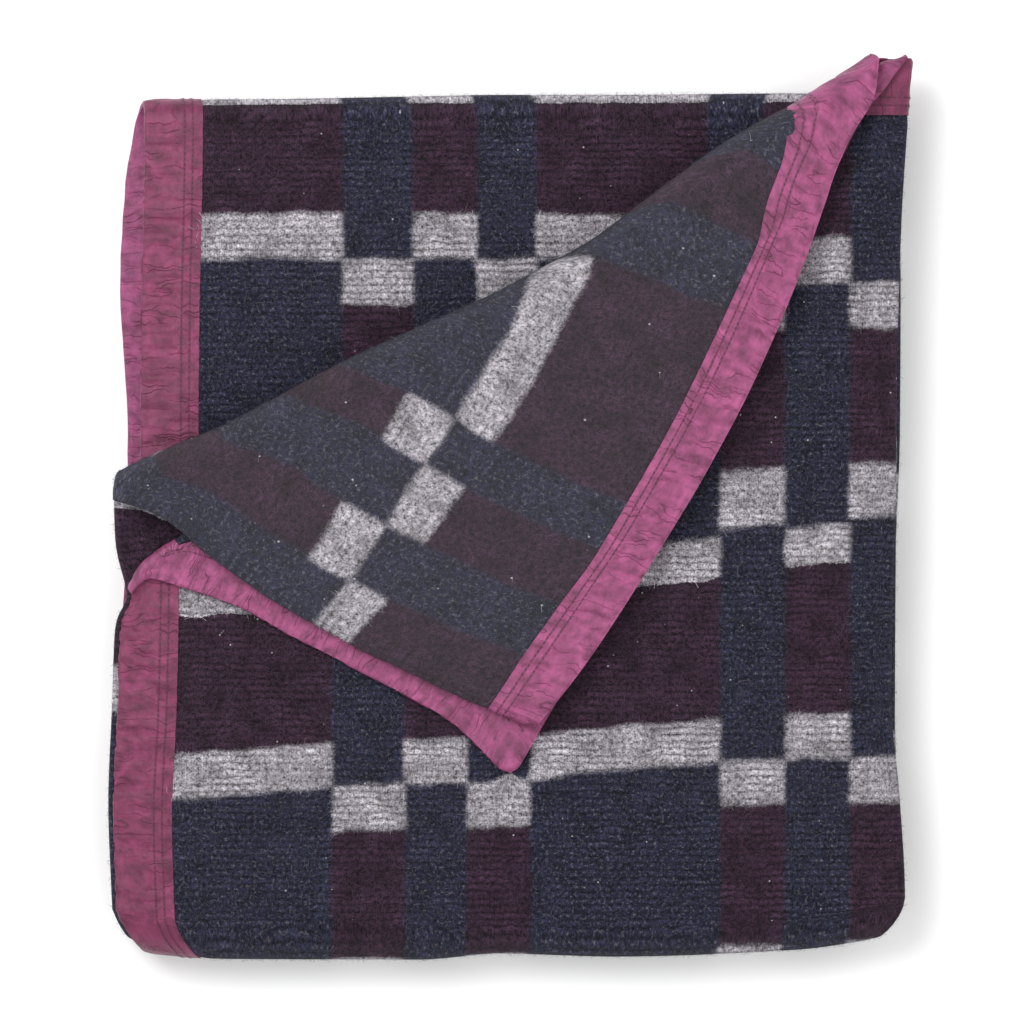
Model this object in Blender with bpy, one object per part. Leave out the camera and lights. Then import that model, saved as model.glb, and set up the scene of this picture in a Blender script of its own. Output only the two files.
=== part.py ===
"""A brushed wool blanket, folded to a pad of nine layers with its top corner turned over.

The cloth is one sheet. It is first folded in three across its width, like a letter Z, and
that strip of three layers is then folded in three along its length, like a letter C. The
upper left corner of the top panel is turned over to the lower right. A satin tape is folded
over all four edges. Working units are millimetres, with +Z up from the surface it lies on.
"""

import bisect
import math
from collections import namedtuple

import bmesh
import bpy
from mathutils import Vector

# Cloth and tape
CLOTH_T = 2.8
PITCH = 5.6
TAPE_WIDTH = 38.0
TAPE_T = 0.8
TAPE_GAP = 0.35
TAPE_TURN = 12.0

# Plan of the folded pad, measured from its middle
TOP_EDGE_RIGHT = 297.0
TOP_EDGE_LEFT = 307.5
INNER_END = -245.0
RAMP_START = -200.0
RAMP_END = -160.0
CENTRE_X = -0.25
CENTRE_Y = 1.5

# Facets
FOLD_STEPS = 6
LENGTH_FOLD_STEPS = 7
MIDDLE_COLUMNS = (RAMP_START, RAMP_END, -70.0, 20.0, 110.0, 190.0)
END_INSET = 13.0

HALF_T = CLOTH_T / 2
TAPE_INSIDE = HALF_T + TAPE_GAP
TAPE_OUTSIDE = TAPE_INSIDE + TAPE_T
TAPE_SPILL = TAPE_GAP + TAPE_T
FOLD_R = PITCH / 2
TOP_LEVEL = 6 * PITCH + HALF_T
BOTTOM_LEVEL = 2 * PITCH + HALF_T
INNER_LEVEL = 3 * PITCH + HALF_T
BOTTOM_FOLD_R = 2 * PITCH
LAYERS_UP = 2 * PITCH
TOP_PANEL_FROM = 5.5 * PITCH + HALF_T

# Outline of each panel, in order along the cloth: panel A on top (0 to 1), its fold (1 to 2),
# panel B at the bottom (2 to 3), its fold (3 to 4) and panel C inside (4 to 5)
Outline = namedtuple("Outline", "way left_edge right_fold left_fold right_edge")
OUTLINES = (
    Outline(0.00, -274.0, 266.0, -275.0, 250.0),
    Outline(0.07, -272.0, 263.0, -274.0, 250.0),
    Outline(0.20, -268.5, 258.5, -270.0, 248.0),
    Outline(0.40, -262.5, 255.5, -264.0, 247.0),
    Outline(0.52, -258.5, 255.0, -261.0, 247.0),
    Outline(0.62, -256.0, 253.0, -260.0, 246.0),
    Outline(0.76, -257.5, 252.0, -262.0, 245.0),
    Outline(0.88, -260.5, 257.5, -264.5, 248.0),
    Outline(1.00, -258.5, 261.0, -262.0, 250.0),
    Outline(1.50, -243.0, 248.0, -254.0, 243.0),
    Outline(2.00, -262.0, 259.0, -261.0, 249.0),
    Outline(2.15, -266.5, 258.0, -262.0, 248.0),
    Outline(2.35, -258.0, 256.0, -256.0, 246.0),
    Outline(2.60, -250.0, 260.5, -246.0, 250.0),
    Outline(2.80, -254.5, 261.0, -246.0, 250.0),
    Outline(2.93, -251.0, 260.0, -244.0, 250.0),
    Outline(3.00, -246.0, 259.0, -243.0, 249.0),
    Outline(4.00, -239.0, 257.0, -241.0, 248.0),
    Outline(4.30, -241.0, 257.0, -243.0, 247.0),
    Outline(4.60, -241.5, 256.0, -243.0, 246.0),
    Outline(5.00, -242.0, 255.0, -243.0, 246.0),
)

# Rows of facets along each panel
PANEL_A_ROWS = (0.20, 0.32, 0.44, 0.55, 0.66, 0.77, 0.88, 1.0)
PANEL_B_ROWS = (2.15, 2.35, 2.60, 2.80, 2.93, 3.0)
PANEL_C_ROWS = (4.30, 4.60, 4.85)
MIDDLE_REACH = 5

# How far the two folds across the pad reach at each place along them
Reach = namedtuple("Reach", "x bottom top")
REACHES = (
    Reach(-275.0, -284.0, 266.0),
    Reach(-262.0, -287.5, 267.0),
    Reach(-248.0, -291.0, 268.0),
    Reach(-235.0, -294.5, 269.0),
    Reach(-185.0, -298.0, 269.0),
    Reach(-60.0, -298.5, 271.0),
    Reach(-6.0, -294.5, 272.0),
    Reach(70.0, -296.5, 272.0),
    Reach(190.0, -292.0, 272.0),
    Reach(226.0, -287.5, 271.0),
    Reach(251.0, -282.5, 269.0),
    Reach(262.0, -280.0, 268.0),
)

# The turned-over corner. Its crease runs from a point on the left of panel A to one on its
# top edge. The corner of the cloth lands on the tip. The top layer has a crease of its own,
# and the others are pulled a little to the right at the left end of theirs.
Crease = namedtuple("Crease", "left right corner tip turn_r bow pull top side")
CORNER = (-275.0, 307.5)
TOP_LAYER = Crease(
    (-256.0, -49.0), (258.5, 295.2), CORNER, (2.0, -174.5), PITCH / 2, 0.0, (0.0, 0.0), "inner_top", "edge"
)
LOWER_LAYERS = Crease(
    (-261.5, 6.5), (237.0, 297.6), CORNER, (16.5, -143.5), 2 * PITCH, 1.0, (9.0, 4.0), "top_edge", "fold"
)
CREASE_Z = 8.5 * PITCH + HALF_T
LAYER_SPLIT = 7.5 * PITCH + HALF_T
CREASE_STEPS = 6
NARROW_NOSE = 0.6
BOW_FADE = 130.0
RIGHT_STILL = 255.0
STILL_FADE = 22.0
PULLED_SHARE = 0.2
PULLED_REACH = 14.0
TAPE_DRAW = 0.12
LEAST_ROOM = 20.0

# How far each side of the turned corner stands out from a straight line, by the share of
# the way from crease to tip, and how far the crease itself bows in, by its share from the left
Bow = namedtuple("Bow", "share top_edge inner_top fold edge crease")
BOWS = (
    Bow(0.00, 0.0, 0.0, 0.0, 0.0, 0.0),
    Bow(0.05, 12.0, -3.5, -3.5, -12.0, 2.5),
    Bow(0.10, 11.0, -9.5, -5.5, -14.8, 5.5),
    Bow(0.15, 13.0, -9.5, -3.5, -17.2, 9.5),
    Bow(0.20, 17.5, -3.5, 0.5, -19.5, 10.5),
    Bow(0.30, 23.5, 5.0, 5.0, -21.9, 12.0),
    Bow(0.40, 26.5, 10.3, 8.0, -20.4, 17.2),
    Bow(0.50, 26.8, 12.2, 8.5, -20.4, 22.7),
    Bow(0.60, 24.8, 11.5, 8.5, -19.9, 24.0),
    Bow(0.70, 20.8, 9.0, 6.0, -19.4, 17.5),
    Bow(0.80, 16.0, 6.0, 4.5, -17.8, 11.5),
    Bow(0.90, 10.0, 1.0, 1.5, -10.0, 10.5),
    Bow(1.00, 0.0, 0.0, 0.0, 0.0, 8.7),
)


def between(rows, at, column):
    """Value of a table's named column at a place given in its first column."""
    places = [row[0] for row in rows]
    at = min(max(at, places[0]), places[-1])
    upper = min(max(bisect.bisect_right(places, at), 1), len(rows) - 1)
    low = rows[upper - 1]
    high = rows[upper]
    share = (at - low[0]) / (high[0] - low[0])
    return getattr(low, column) * (1 - share) + getattr(high, column) * share


def mid_line(way, spill, inset):
    """Middle line of the three layers across the pad, as (x, height, normal x, normal height)."""
    left_edge = between(OUTLINES, way, "left_edge")
    right = between(OUTLINES, way, "right_fold") - HALF_T - FOLD_R
    left = between(OUTLINES, way, "left_fold") + HALF_T + FOLD_R
    right_edge = between(OUTLINES, way, "right_edge")
    columns = list(MIDDLE_COLUMNS)
    layer_1 = [left_edge - spill, left_edge + TAPE_TURN]
    layer_1 += [left_edge + inset] + columns + [right - END_INSET]
    layer_2 = [right] + [right - END_INSET] + columns[::-1] + [left + END_INSET]
    layer_3 = [left] + [left + END_INSET] + columns
    layer_3 += [right_edge - inset, right_edge - TAPE_TURN, right_edge + spill]
    line = [(x, LAYERS_UP, 0.0, 1.0) for x in layer_1]
    for step in range(FOLD_STEPS):
        turn = math.pi * step / FOLD_STEPS
        height = 1.5 * PITCH + FOLD_R * math.cos(turn)
        line.append((right + FOLD_R * math.sin(turn), height, math.sin(turn), math.cos(turn)))
    line += [(x, PITCH, 0.0, -1.0) for x in layer_2]
    for step in range(FOLD_STEPS):
        turn = math.pi * step / FOLD_STEPS
        height = 0.5 * PITCH + FOLD_R * math.cos(turn)
        line.append((left - FOLD_R * math.sin(turn), height, math.sin(turn), -math.cos(turn)))
    line += [(x, 0.0, 0.0, 1.0) for x in layer_3]
    return line


def top_edge_at(x):
    """How far up the pad the top panel's edge lies at a place along it."""
    lean = (x - OUTLINES[0].left_edge) / (OUTLINES[0].right_fold - OUTLINES[0].left_edge)
    return TOP_EDGE_LEFT + (TOP_EDGE_RIGHT - TOP_EDGE_LEFT) * lean


def folded(way, x, height):
    """Place in the pad of a point at a way along the cloth and a height in the three layers."""
    lowest = between(REACHES, x, "bottom") + 4 * PITCH + HALF_T
    highest = between(REACHES, x, "top") - 2.5 * PITCH - HALF_T
    if way <= 1:
        top_edge = top_edge_at(x)
        return Vector((x, top_edge + (lowest - top_edge) * way, TOP_LEVEL + height))
    if way <= 2:
        turn = math.pi * (way - 1)
        reach = BOTTOM_FOLD_R + height
        z = 4 * PITCH + HALF_T + reach * math.cos(turn)
        return Vector((x, lowest - reach * math.sin(turn), z))
    if way <= 3:
        return Vector((x, lowest + (highest - lowest) * (way - 2), BOTTOM_LEVEL - height))
    if way <= 4:
        turn = math.pi * (way - 3)
        reach = FOLD_R + height
        z = 2.5 * PITCH + HALF_T - reach * math.cos(turn)
        return Vector((x, highest + reach * math.sin(turn), z))
    return Vector((x, highest + (INNER_END - highest) * (way - 4), INNER_LEVEL + height))


def crease_frame(crease):
    """Start, run and outward direction of a crease, and the corner's distance from it."""
    start = Vector(crease.left)
    run = Vector(crease.right) - start
    outward = Vector((-run.y, run.x)).normalized()
    return start, run, outward, (Vector(crease.corner) - start).dot(outward)


def turned(point):
    """Carry a point of the top panel that lies past its crease over to the lower right."""
    crease = TOP_LAYER if point.z > LAYER_SPLIT else LOWER_LAYERS
    start, run, outward, depth = crease_frame(crease)
    to_corner = Vector(crease.corner) - start
    tip = Vector(crease.tip)
    flat = point.xy - start
    past = flat.dot(outward) / depth
    along = flat.cross(to_corner) / run.cross(to_corner)
    share = min(max(along / max(1 - past, 0.01), 0), 1)
    still = min(max((RIGHT_STILL - point.x) / STILL_FADE, 0), 1)
    bow = outward * (-crease.bow * between(BOWS, share, "crease") * still)
    arc = math.pi * crease.turn_r
    if past <= 0:
        fade = max(0.0, 1 + past * depth / BOW_FADE)
        return Vector((*(point.xy + bow * fade), point.z))
    reach = CREASE_Z - point.z
    base = start + run * (along / (1 - past)) if past < 0.5 else start
    if past * depth < arc:
        turn = past * depth / crease.turn_r
        nose = 1 + (NARROW_NOSE - 1) * share
        pull = Vector(crease.pull) * (max(0.0, 1 - share / PULLED_SHARE) ** 2 * reach / PULLED_REACH)
        flat = base + bow + (outward * (reach * nose) + pull) * math.sin(turn)
        return Vector((*flat, CREASE_Z - reach * math.cos(turn)))
    down = (past * depth - arc) / (depth - arc)
    flat = start * (1 - down) + run * (along * depth / (depth - arc)) + tip * down
    side = tip - start
    side_out = Vector((side.y, -side.x)).normalized()
    top = tip - Vector(crease.right)
    top_out = Vector((-top.y, top.x)).normalized()
    hem = top_edge_at(point.x) - point.y
    room = (crease.corner[1] - crease.left[1]) * (1 - past)
    drawn = 1 + TAPE_DRAW * min(max(hem / TAPE_WIDTH, 0), 1)
    if hem > TAPE_WIDTH:
        drawn *= min(max((room - hem) / max(room - TAPE_WIDTH, LEAST_ROOM), 0), 1)
    flat += bow * (1 - min(down, 1)) ** 2
    flat += side_out * (between(BOWS, down, crease.side) * (1 - share))
    flat += top_out * (between(BOWS, down, crease.top) * drawn)
    return Vector((*flat, CREASE_Z + reach))


def lifted(point):
    """Raise the whole pad by the tape's thickness where its left edge lies on the tape."""
    share = min(max((RAMP_END - point.x) / (RAMP_END - RAMP_START), 0), 1)
    return point + Vector((0, 0, TAPE_SPILL * share))


def way_rows(spill, inset):
    """Ways along the cloth of its rows, with the first and last set out past the edge."""
    panel_a = TOP_EDGE_RIGHT - REACHES[MIDDLE_REACH].bottom - 4 * PITCH
    panel_c = REACHES[MIDDLE_REACH].top - INNER_END
    rows = [-spill / panel_a, TAPE_TURN / panel_a, inset / panel_a] + list(PANEL_A_ROWS)
    rows += [1 + step / LENGTH_FOLD_STEPS for step in range(1, LENGTH_FOLD_STEPS + 1)]
    rows += list(PANEL_B_ROWS)
    rows += [3 + step / LENGTH_FOLD_STEPS for step in range(1, LENGTH_FOLD_STEPS + 1)]
    rows += list(PANEL_C_ROWS)
    rows += [5 - inset / panel_c, 5 - TAPE_TURN / panel_c, 5 + spill / panel_c]
    return rows


def sheet_points(spill, inset, offset):
    """Grid of points of the unturned pad, at an offset from the middle of the cloth."""
    grid = []
    for way in way_rows(spill, inset):
        line = mid_line(way, spill, inset)
        grid.append([folded(way, x + nx * offset, h + nh * offset) for x, h, nx, nh in line])
    return grid


def add_grid(bm, grid):
    return [[bm.verts.new(point) for point in row] for row in grid]


def side_of(point):
    return "top" if point.z > LAYER_SPLIT else "lower"


def cut_creases(bm):
    """Cut the top panel's faces along the lines where the turned corner starts to bend."""
    for crease, name in ((TOP_LAYER, "top"), (LOWER_LAYERS, "lower")):
        start, run, outward, depth = crease_frame(crease)
        normal = Vector((*outward, 0))
        for step in range(CREASE_STEPS + 1):
            distance = math.pi * crease.turn_r * step / CREASE_STEPS
            faces = []
            for face in bm.faces:
                middle = face.calc_center_median()
                if middle.z > TOP_PANEL_FROM and side_of(middle) == name:
                    faces.append(face)
            edges = {edge for face in faces for edge in face.edges}
            verts = {vert for face in faces for vert in face.verts}
            place = Vector((*(start + outward * distance), 0))
            geometry = list(verts) + list(edges) + faces
            bmesh.ops.bisect_plane(bm, geom=geometry, dist=0.01, plane_co=place, plane_no=normal)


def finish(bm, name, material):
    """Fold a flat-built mesh's corner over, set it in metres and link it as an object."""
    cut_creases(bm)
    bmesh.ops.triangulate(bm, faces=bm.faces)
    for vert in bm.verts:
        point = vert.co
        if point.z > TOP_PANEL_FROM:
            point = turned(point)
        vert.co = (lifted(point) - Vector((CENTRE_X, CENTRE_Y, 0))) * 0.001
    bmesh.ops.recalc_face_normals(bm, faces=bm.faces)
    mesh = bpy.data.meshes.new(name)
    bm.to_mesh(mesh)
    bm.free()
    mesh.shade_smooth()
    mesh.set_sharp_from_angle(angle=math.radians(40))
    mesh.materials.append(material)
    bpy.context.collection.objects.link(bpy.data.objects.new(name, mesh))


def cloth_material():
    material = bpy.data.materials.new("brushed_wool")
    material.use_nodes = True
    shader = material.node_tree.nodes["Principled BSDF"]
    shader.inputs["Base Color"].default_value = (0.045, 0.035, 0.055, 1)
    shader.inputs["Roughness"].default_value = 0.95
    return material


def tape_material():
    material = bpy.data.materials.new("satin_tape")
    material.use_nodes = True
    shader = material.node_tree.nodes["Principled BSDF"]
    shader.inputs["Base Color"].default_value = (0.33, 0.06, 0.16, 1)
    shader.inputs["Roughness"].default_value = 0.5
    return material


def build_cloth():
    """One closed sheet: its upper and lower faces and the four edges between them."""
    bm = bmesh.new()
    upper = add_grid(bm, sheet_points(0.0, TAPE_WIDTH, HALF_T))
    lower = add_grid(bm, sheet_points(0.0, TAPE_WIDTH, -HALF_T))
    rows = len(upper)
    columns = len(upper[0])
    for i in range(rows - 1):
        for j in range(columns - 1):
            bm.faces.new((upper[i][j], upper[i][j + 1], upper[i + 1][j + 1], upper[i + 1][j]))
            bm.faces.new((lower[i][j], lower[i + 1][j], lower[i + 1][j + 1], lower[i][j + 1]))
        for j in (0, columns - 1):
            bm.faces.new((upper[i][j], upper[i + 1][j], lower[i + 1][j], lower[i][j]))
    for j in range(columns - 1):
        for i in (0, rows - 1):
            bm.faces.new((upper[i][j], upper[i][j + 1], lower[i][j + 1], lower[i][j]))
    finish(bm, "cloth", cloth_material())


def build_tape():
    """Satin tape folded over all four edges, mitred at the corners, as one closed frame."""
    bm = bmesh.new()
    faces_out = add_grid(bm, sheet_points(TAPE_SPILL, TAPE_WIDTH, TAPE_OUTSIDE))
    faces_in = add_grid(bm, sheet_points(TAPE_GAP, TAPE_WIDTH, TAPE_INSIDE))
    backs_in = add_grid(bm, sheet_points(TAPE_GAP, TAPE_WIDTH, -TAPE_INSIDE))
    backs_out = add_grid(bm, sheet_points(TAPE_SPILL, TAPE_WIDTH, -TAPE_OUTSIDE))
    last_row = len(faces_out) - 2
    last_column = len(faces_out[0]) - 2

    def taped(i, j):
        return i in (0, 1, last_row - 1, last_row) or j in (0, 1, last_column - 1, last_column)

    def wall(first, second, start, end):
        a, b = start
        c, d = end
        bm.faces.new((first[a][b], first[c][d], second[c][d], second[a][b]))

    for i in range(last_row + 1):
        for j in range(last_column + 1):
            if not taped(i, j):
                continue
            for grid in (faces_out, faces_in, backs_in, backs_out):
                bm.faces.new((grid[i][j], grid[i][j + 1], grid[i + 1][j + 1], grid[i + 1][j]))
            sides = (
                ((i - 1, j), (i, j), (i, j + 1)),
                ((i + 1, j), (i + 1, j), (i + 1, j + 1)),
                ((i, j - 1), (i, j), (i + 1, j)),
                ((i, j + 1), (i, j + 1), (i + 1, j + 1)),
            )
            for (row, column), start, end in sides:
                if row < 0 or column < 0 or row > last_row or column > last_column:
                    wall(faces_out, backs_out, start, end)
                    wall(faces_in, backs_in, start, end)
                elif not taped(row, column):
                    wall(faces_out, faces_in, start, end)
                    wall(backs_in, backs_out, start, end)
    for vert in [vert for vert in bm.verts if not vert.link_faces]:
        bm.verts.remove(vert)
    finish(bm, "edge_tape", tape_material())


for old in list(bpy.data.objects):
    bpy.data.objects.remove(old, do_unlink=True)

build_cloth()
build_tape()
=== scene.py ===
"""Scene of a brushed wool blanket with a block check and satin edge tape, folded to a pad."""

import bisect
import math
from collections import namedtuple

import bmesh
import bpy
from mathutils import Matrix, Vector, noise


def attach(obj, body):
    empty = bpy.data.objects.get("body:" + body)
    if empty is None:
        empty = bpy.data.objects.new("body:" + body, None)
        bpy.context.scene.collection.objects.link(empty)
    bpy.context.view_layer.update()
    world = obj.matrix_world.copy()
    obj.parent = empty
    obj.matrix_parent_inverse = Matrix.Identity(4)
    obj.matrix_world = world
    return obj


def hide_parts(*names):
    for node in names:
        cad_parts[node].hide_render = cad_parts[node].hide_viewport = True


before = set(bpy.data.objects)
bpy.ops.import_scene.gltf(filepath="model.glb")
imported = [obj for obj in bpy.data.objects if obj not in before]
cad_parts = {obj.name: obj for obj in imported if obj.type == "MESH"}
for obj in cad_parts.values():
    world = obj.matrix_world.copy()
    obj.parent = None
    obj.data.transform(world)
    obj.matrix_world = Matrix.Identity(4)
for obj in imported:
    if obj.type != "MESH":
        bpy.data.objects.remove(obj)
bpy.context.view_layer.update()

# Camera and studio. The camera looks straight down from far away. A wide soft light hangs above
# and a little to the upper left, over a plain white table.
MM = 0.001
CAMERA_AWAY = 3.5
VIEW_WIDTH = 0.67584
PAD_TOP = 0.050
camera_data = bpy.data.cameras.new("camera")
camera_data.sensor_width = 36
camera_data.lens = 36 * CAMERA_AWAY / VIEW_WIDTH
camera = bpy.data.objects.new("camera", camera_data)
camera.location = (0.0022, -0.0032, PAD_TOP + CAMERA_AWAY)
bpy.context.collection.objects.link(camera)
bpy.context.scene.camera = camera

world = bpy.data.worlds.new("studio")
bpy.context.scene.world = world
world.use_nodes = True
world.node_tree.nodes["Background"].inputs["Color"].default_value = (1, 1, 1, 1)
world.node_tree.nodes["Background"].inputs["Strength"].default_value = 0.8
bpy.context.scene.view_settings.view_transform = "Standard"

for name, size, watts, place in (
    ("key", 1.2, 34, (-0.9, 0.9, 1.9)),
    ("fill", 2.0, 14, (1.2, -0.8, 2.2)),
):
    lamp = bpy.data.lights.new(name, "AREA")
    lamp.size = size
    lamp.energy = watts
    light = bpy.data.objects.new(name, lamp)
    light.location = place
    light.rotation_euler = (-Vector(place)).to_track_quat("-Z", "Y").to_euler()
    bpy.context.collection.objects.link(light)


def linear(code):
    """Linear colour of an sRGB hex value."""
    parts = [int(code[i:i + 2], 16) / 255 for i in (1, 3, 5)]
    return [c / 12.92 if c <= 0.04045 else ((c + 0.055) / 1.055) ** 2.4 for c in parts] + [1]


def node(tree, kind, values=None, links=None, **settings):
    """Add a node with its settings, its values by input and its links by input."""
    made = tree.nodes.new(kind)
    for name, value in settings.items():
        setattr(made, name, value)
    for name, value in (values or {}).items():
        made.inputs[name].default_value = value
    for name, socket in (links or {}).items():
        tree.links.new(socket, made.inputs[name])
    return made


def new_material(name):
    """Empty material and its node tree."""
    material = bpy.data.materials.new(name)
    material.use_nodes = True
    material.node_tree.nodes.clear()
    return material, material.node_tree


# Plain matt white table top, so it sends back soft even light
table_paint, tree = new_material("matt_white_table")
surface = node(tree, "ShaderNodeBsdfPrincipled", {"Base Color": linear("#f7f7f7"), "Roughness": 0.9})
node(tree, "ShaderNodeOutputMaterial", links={"Surface": surface.outputs[0]})
table = bpy.data.meshes.new("table")
table.from_pydata([(-4, -4, 0), (4, -4, 0), (4, 4, 0), (-4, 4, 0)], [], [(0, 1, 2, 3)])
table.materials.append(table_paint)
floor = bpy.data.objects.new("table", table)
floor.location.z = -0.2 * MM
bpy.context.collection.objects.link(floor)

# Blanket cloth. One sheet of thick wool and acrylic cloth, woven in blocks and brushed on both
# faces, folded in three across its width (Z) and in three along its length (C). The upper left
# corner of the top panel is turned over to the lower right. All sizes here are millimetres.
CLOTH_T = 2.8
PUFF_T = 4.5
PINCHED_T = 1.6
PINCHED_FROM = 130.0
BESIDE_PUFF = 0.6
PITCH = 5.6
TAPE_WIDTH = 38.0
TOP_EDGE_RIGHT = 297.0
TOP_EDGE_LEFT = 307.5
INNER_END = -245.0
RAMP_START = -200.0
RAMP_END = -160.0
CENTRE_X = -0.25
CENTRE_Y = 1.5
TAPE_SPILL = 1.15
FOLD_STEPS = 8
LONG_FOLD_STEPS = 12

HALF_T = CLOTH_T / 2
FOLD_R = PITCH / 2
TOP_LEVEL = 6 * PITCH + HALF_T
BOTTOM_LEVEL = 2 * PITCH + HALF_T
INNER_LEVEL = 3 * PITCH + HALF_T
BOTTOM_FOLD_R = 2 * PITCH
TOP_PANEL_FROM = 5.5 * PITCH + HALF_T

# Outline of each panel, in order along the cloth: panel A on top (0 to 1), its fold (1 to 2),
# panel B at the bottom (2 to 3), its fold (3 to 4) and panel C inside (4 to 5)
Outline = namedtuple("Outline", "way left_edge right_fold left_fold right_edge")
OUTLINES = (
    Outline(0.00, -274.0, 266.0, -275.0, 250.0),
    Outline(0.07, -272.0, 263.0, -274.0, 250.0),
    Outline(0.20, -268.5, 258.5, -270.0, 248.0),
    Outline(0.40, -262.5, 255.5, -264.0, 247.0),
    Outline(0.52, -258.5, 255.0, -261.0, 247.0),
    Outline(0.62, -256.0, 253.0, -260.0, 246.0),
    Outline(0.76, -257.5, 252.0, -262.0, 245.0),
    Outline(0.88, -260.5, 257.5, -264.5, 248.0),
    Outline(1.00, -258.5, 261.0, -262.0, 250.0),
    Outline(1.50, -243.0, 248.0, -254.0, 243.0),
    Outline(2.00, -262.0, 259.0, -261.0, 249.0),
    Outline(2.15, -266.5, 258.0, -262.0, 248.0),
    Outline(2.35, -258.0, 256.0, -256.0, 246.0),
    Outline(2.60, -254.0, 260.5, -241.0, 250.0),
    Outline(2.80, -259.0, 261.0, -240.0, 250.0),
    Outline(2.93, -255.5, 260.0, -239.0, 250.0),
    Outline(3.00, -250.0, 259.0, -239.0, 249.0),
    Outline(4.00, -241.0, 257.0, -237.0, 248.0),
    Outline(4.30, -243.5, 257.0, -239.0, 247.0),
    Outline(4.60, -244.0, 256.0, -239.0, 246.0),
    Outline(5.00, -243.5, 255.0, -239.0, 246.0),
)

# How far the two folds across the pad reach at each place along them
Reach = namedtuple("Reach", "x bottom top")
REACHES = (
    Reach(-275.0, -284.0, 269.5),
    Reach(-262.0, -287.5, 270.5),
    Reach(-248.0, -291.0, 271.5),
    Reach(-235.0, -294.5, 272.5),
    Reach(-185.0, -298.0, 272.5),
    Reach(-60.0, -298.5, 274.5),
    Reach(-6.0, -294.5, 275.5),
    Reach(70.0, -296.5, 275.5),
    Reach(190.0, -292.0, 276.5),
    Reach(226.0, -287.5, 275.5),
    Reach(251.0, -282.5, 273.5),
    Reach(262.0, -280.0, 272.5),
)

# The turned corner: each layer's crease from its left to its right end, and where the cloth's
# corner lands. The top layer lies inside the other two and has a crease of its own.
Crease = namedtuple("Crease", "left right corner tip turn_r bow pull top side")
CORNER = (-275.0, 307.5)
TOP_LAYER = Crease(
    (-256.0, -49.0), (258.5, 295.2), CORNER, (0.5, -179.0), PITCH / 2, 0.0, (0.0, 0.0), "inner_top", "edge"
)
LOWER_LAYERS = Crease(
    (-261.5, 6.5), (237.0, 297.6), CORNER, (16.5, -143.5), 2 * PITCH, 1.0, (9.0, 4.0), "top_edge", "fold"
)
CREASE_Z = 8.5 * PITCH + HALF_T
LAYER_SPLIT = 7.5 * PITCH + HALF_T
CREASE_STEPS = 9
NARROW_NOSE = 0.6
BOW_FADE = 130.0
RIGHT_STILL = 255.0
STILL_FADE = 22.0
PULLED_SHARE = 0.2
PULLED_REACH = 14.0
TAPE_DRAW = 0.12
LEAST_ROOM = 20.0

# How far each side of the turned corner stands out from a straight line, by the share of the
# way from crease to tip, and how far the crease itself bows in, by its share from the left
Bow = namedtuple("Bow", "share top_edge inner_top fold edge crease squeeze gather")
BOWS = (
    Bow(0.00, 0.0, 0.0, 0.0, 0.0, 0.0, 0.0, 17.0),
    Bow(0.05, 7.0, -3.5, -3.5, -12.0, 2.5, 5.0, 9.0),
    Bow(0.10, 5.5, -9.5, -5.5, -14.8, 5.5, 13.0, 5.0),
    Bow(0.15, 7.0, -9.5, -3.5, -17.2, 9.5, 18.5, 4.0),
    Bow(0.20, 11.0, -3.5, 0.5, -19.5, 10.5, 15.5, 4.0),
    Bow(0.30, 18.0, 5.0, 5.0, -21.9, 12.0, 10.5, 4.0),
    Bow(0.40, 22.5, 10.3, 8.0, -20.4, 17.2, 7.5, 3.0),
    Bow(0.50, 24.5, 12.2, 8.5, -20.4, 22.7, 4.5, 1.0),
    Bow(0.60, 23.5, 11.5, 8.5, -19.9, 24.0, 3.0, 0.0),
    Bow(0.70, 20.3, 9.0, 6.0, -19.4, 17.5, 0.0, 0.0),
    Bow(0.80, 16.0, 6.0, 4.5, -17.8, 11.5, -1.5, 0.0),
    Bow(0.90, 10.0, 1.0, 1.5, -10.0, 10.5, -1.5, 0.0),
    Bow(1.00, 0.0, 0.0, 0.0, 0.0, 8.7, 0.0, 0.0),
)

# Woven check: along the width a wide block, then three narrow ones, each 253 mm. Along the
# length a repeat is 313.5 mm. These say where the top panel and the inner panel show it.
CHECK_WIDTH = 253.0
CHECK_LENGTH = 313.5
Place = namedtuple("Place", "x top inner drop sag")
CHECK_PLACES = (
    Place(-280.0, -38.0, -44.0, 26.0, 12.0),
    Place(-242.0, 0.0, -6.0, 26.0, 12.0),
    Place(-222.0, 20.0, 13.5, 25.0, 12.0),
    Place(-116.8, 125.0, 118.5, 17.0, 12.0),
    Place(-110.2, 131.8, 125.0, 16.5, 12.0),
    Place(-68.6, 168.0, 163.2, 15.0, 12.0),
    Place(-63.4, 173.3, 168.0, 15.0, 12.0),
    Place(-27.7, 210.0, 203.4, 14.0, 12.0),
    Place(-21.1, 216.8, 210.0, 14.0, 12.0),
    Place(13.9, 253.0, 248.0, 13.0, 12.0),
    Place(18.5, 257.6, 253.0, 12.0, 12.0),
    Place(73.0, 312.0, 313.0, 5.0, 11.0),
    Place(131.3, 370.0, 378.0, 1.0, 10.0),
    Place(139.3, 378.0, 387.0, 0.0, 9.0),
    Place(169.0, 407.8, 421.0, -1.0, 6.0),
    Place(182.2, 421.0, 435.0, -1.0, 4.0),
    Place(225.1, 463.0, 477.0, -2.0, 2.0),
    Place(270.0, 508.0, 522.0, -2.0, 0.0),
)
SAG_Y = -50.0
SAG_REACH = 75.0

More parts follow.
